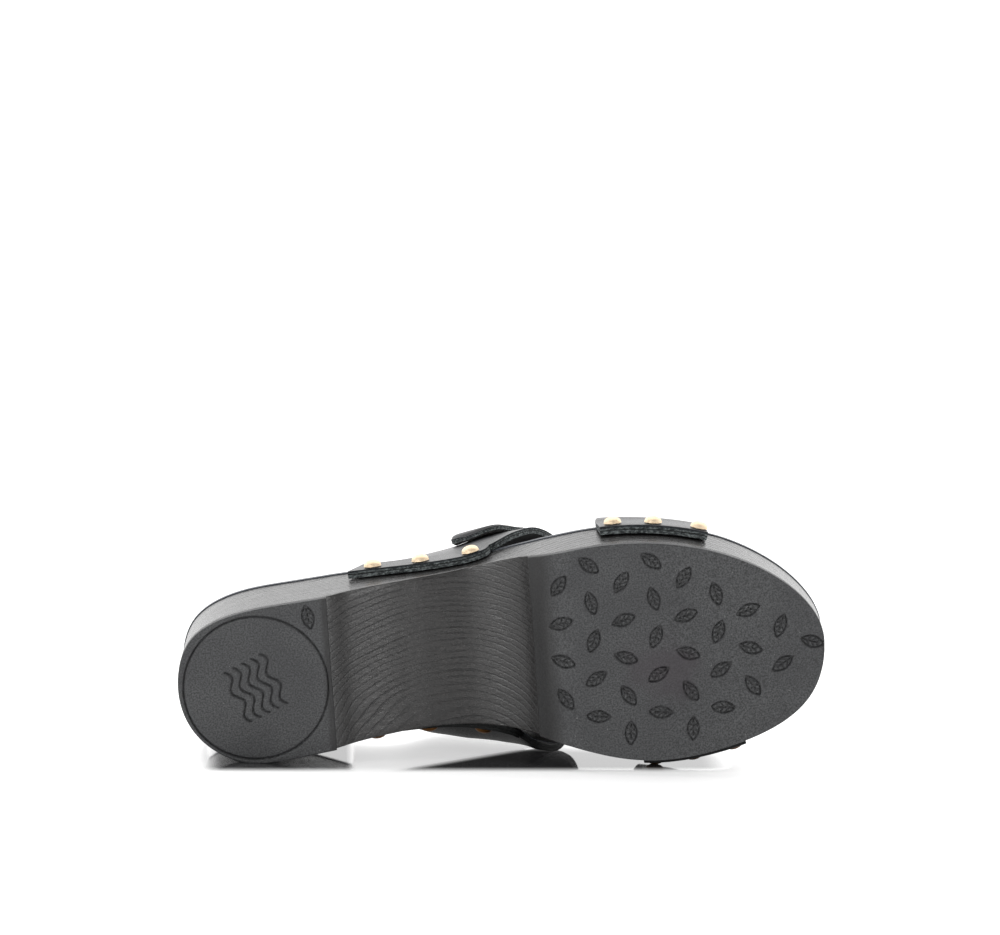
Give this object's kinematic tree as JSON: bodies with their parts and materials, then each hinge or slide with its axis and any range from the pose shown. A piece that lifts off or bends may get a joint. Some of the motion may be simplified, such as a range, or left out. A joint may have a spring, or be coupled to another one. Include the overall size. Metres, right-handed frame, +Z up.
{
  "type": "clog sandal",
  "caption": "Black clog sandal with a one-piece wooden sole, hollow arch, rubber treads, a toe strap and a buckled instep strap held by domed studs, lying on its inner side.",
  "frame": {"origin": "bottom centre of the overall box of the shoe as it lies, on the floor", "axes": "+X from heel to toe, +Y from the tread towards the foot, so the tread faces -Y, +Z up from the floor"},
  "size_m": [0.2524, 0.1068, 0.0992],
  "materials": {
    "sole_wood": "black stain, satin",
    "outsole_heel": "matte",
    "outsole_forefoot": "matte",
    "insole": "satin",
    "toe_strap": "satin",
    "instep_strap_outer": "satin",
    "instep_strap_inner": "satin",
    "buckle": "polished",
    "studs": "polished"
  },
  "bodies": {
    "root": {"sole_wood": "sole_wood", "outsole_heel": "outsole_heel", "outsole_forefoot": "outsole_forefoot", "insole": "insole", "toe_strap": "toe_strap", "instep_strap_outer": "instep_strap_outer", "instep_strap_inner": "instep_strap_inner", "buckle_frame": "buckle", "buckle_prong": "buckle", "stud_toe_outer_1": "studs", "stud_toe_outer_2": "studs", "stud_toe_outer_3": "studs", "stud_toe_inner_1": "studs", "stud_toe_inner_2": "studs", "stud_toe_inner_3": "studs", "stud_instep_outer_1": "studs", "stud_instep_outer_2": "studs", "stud_instep_outer_3": "studs", "stud_instep_inner_1": "studs", "stud_instep_inner_2": "studs", "stud_instep_inner_3": "studs"}
  },
  "joints": []
}
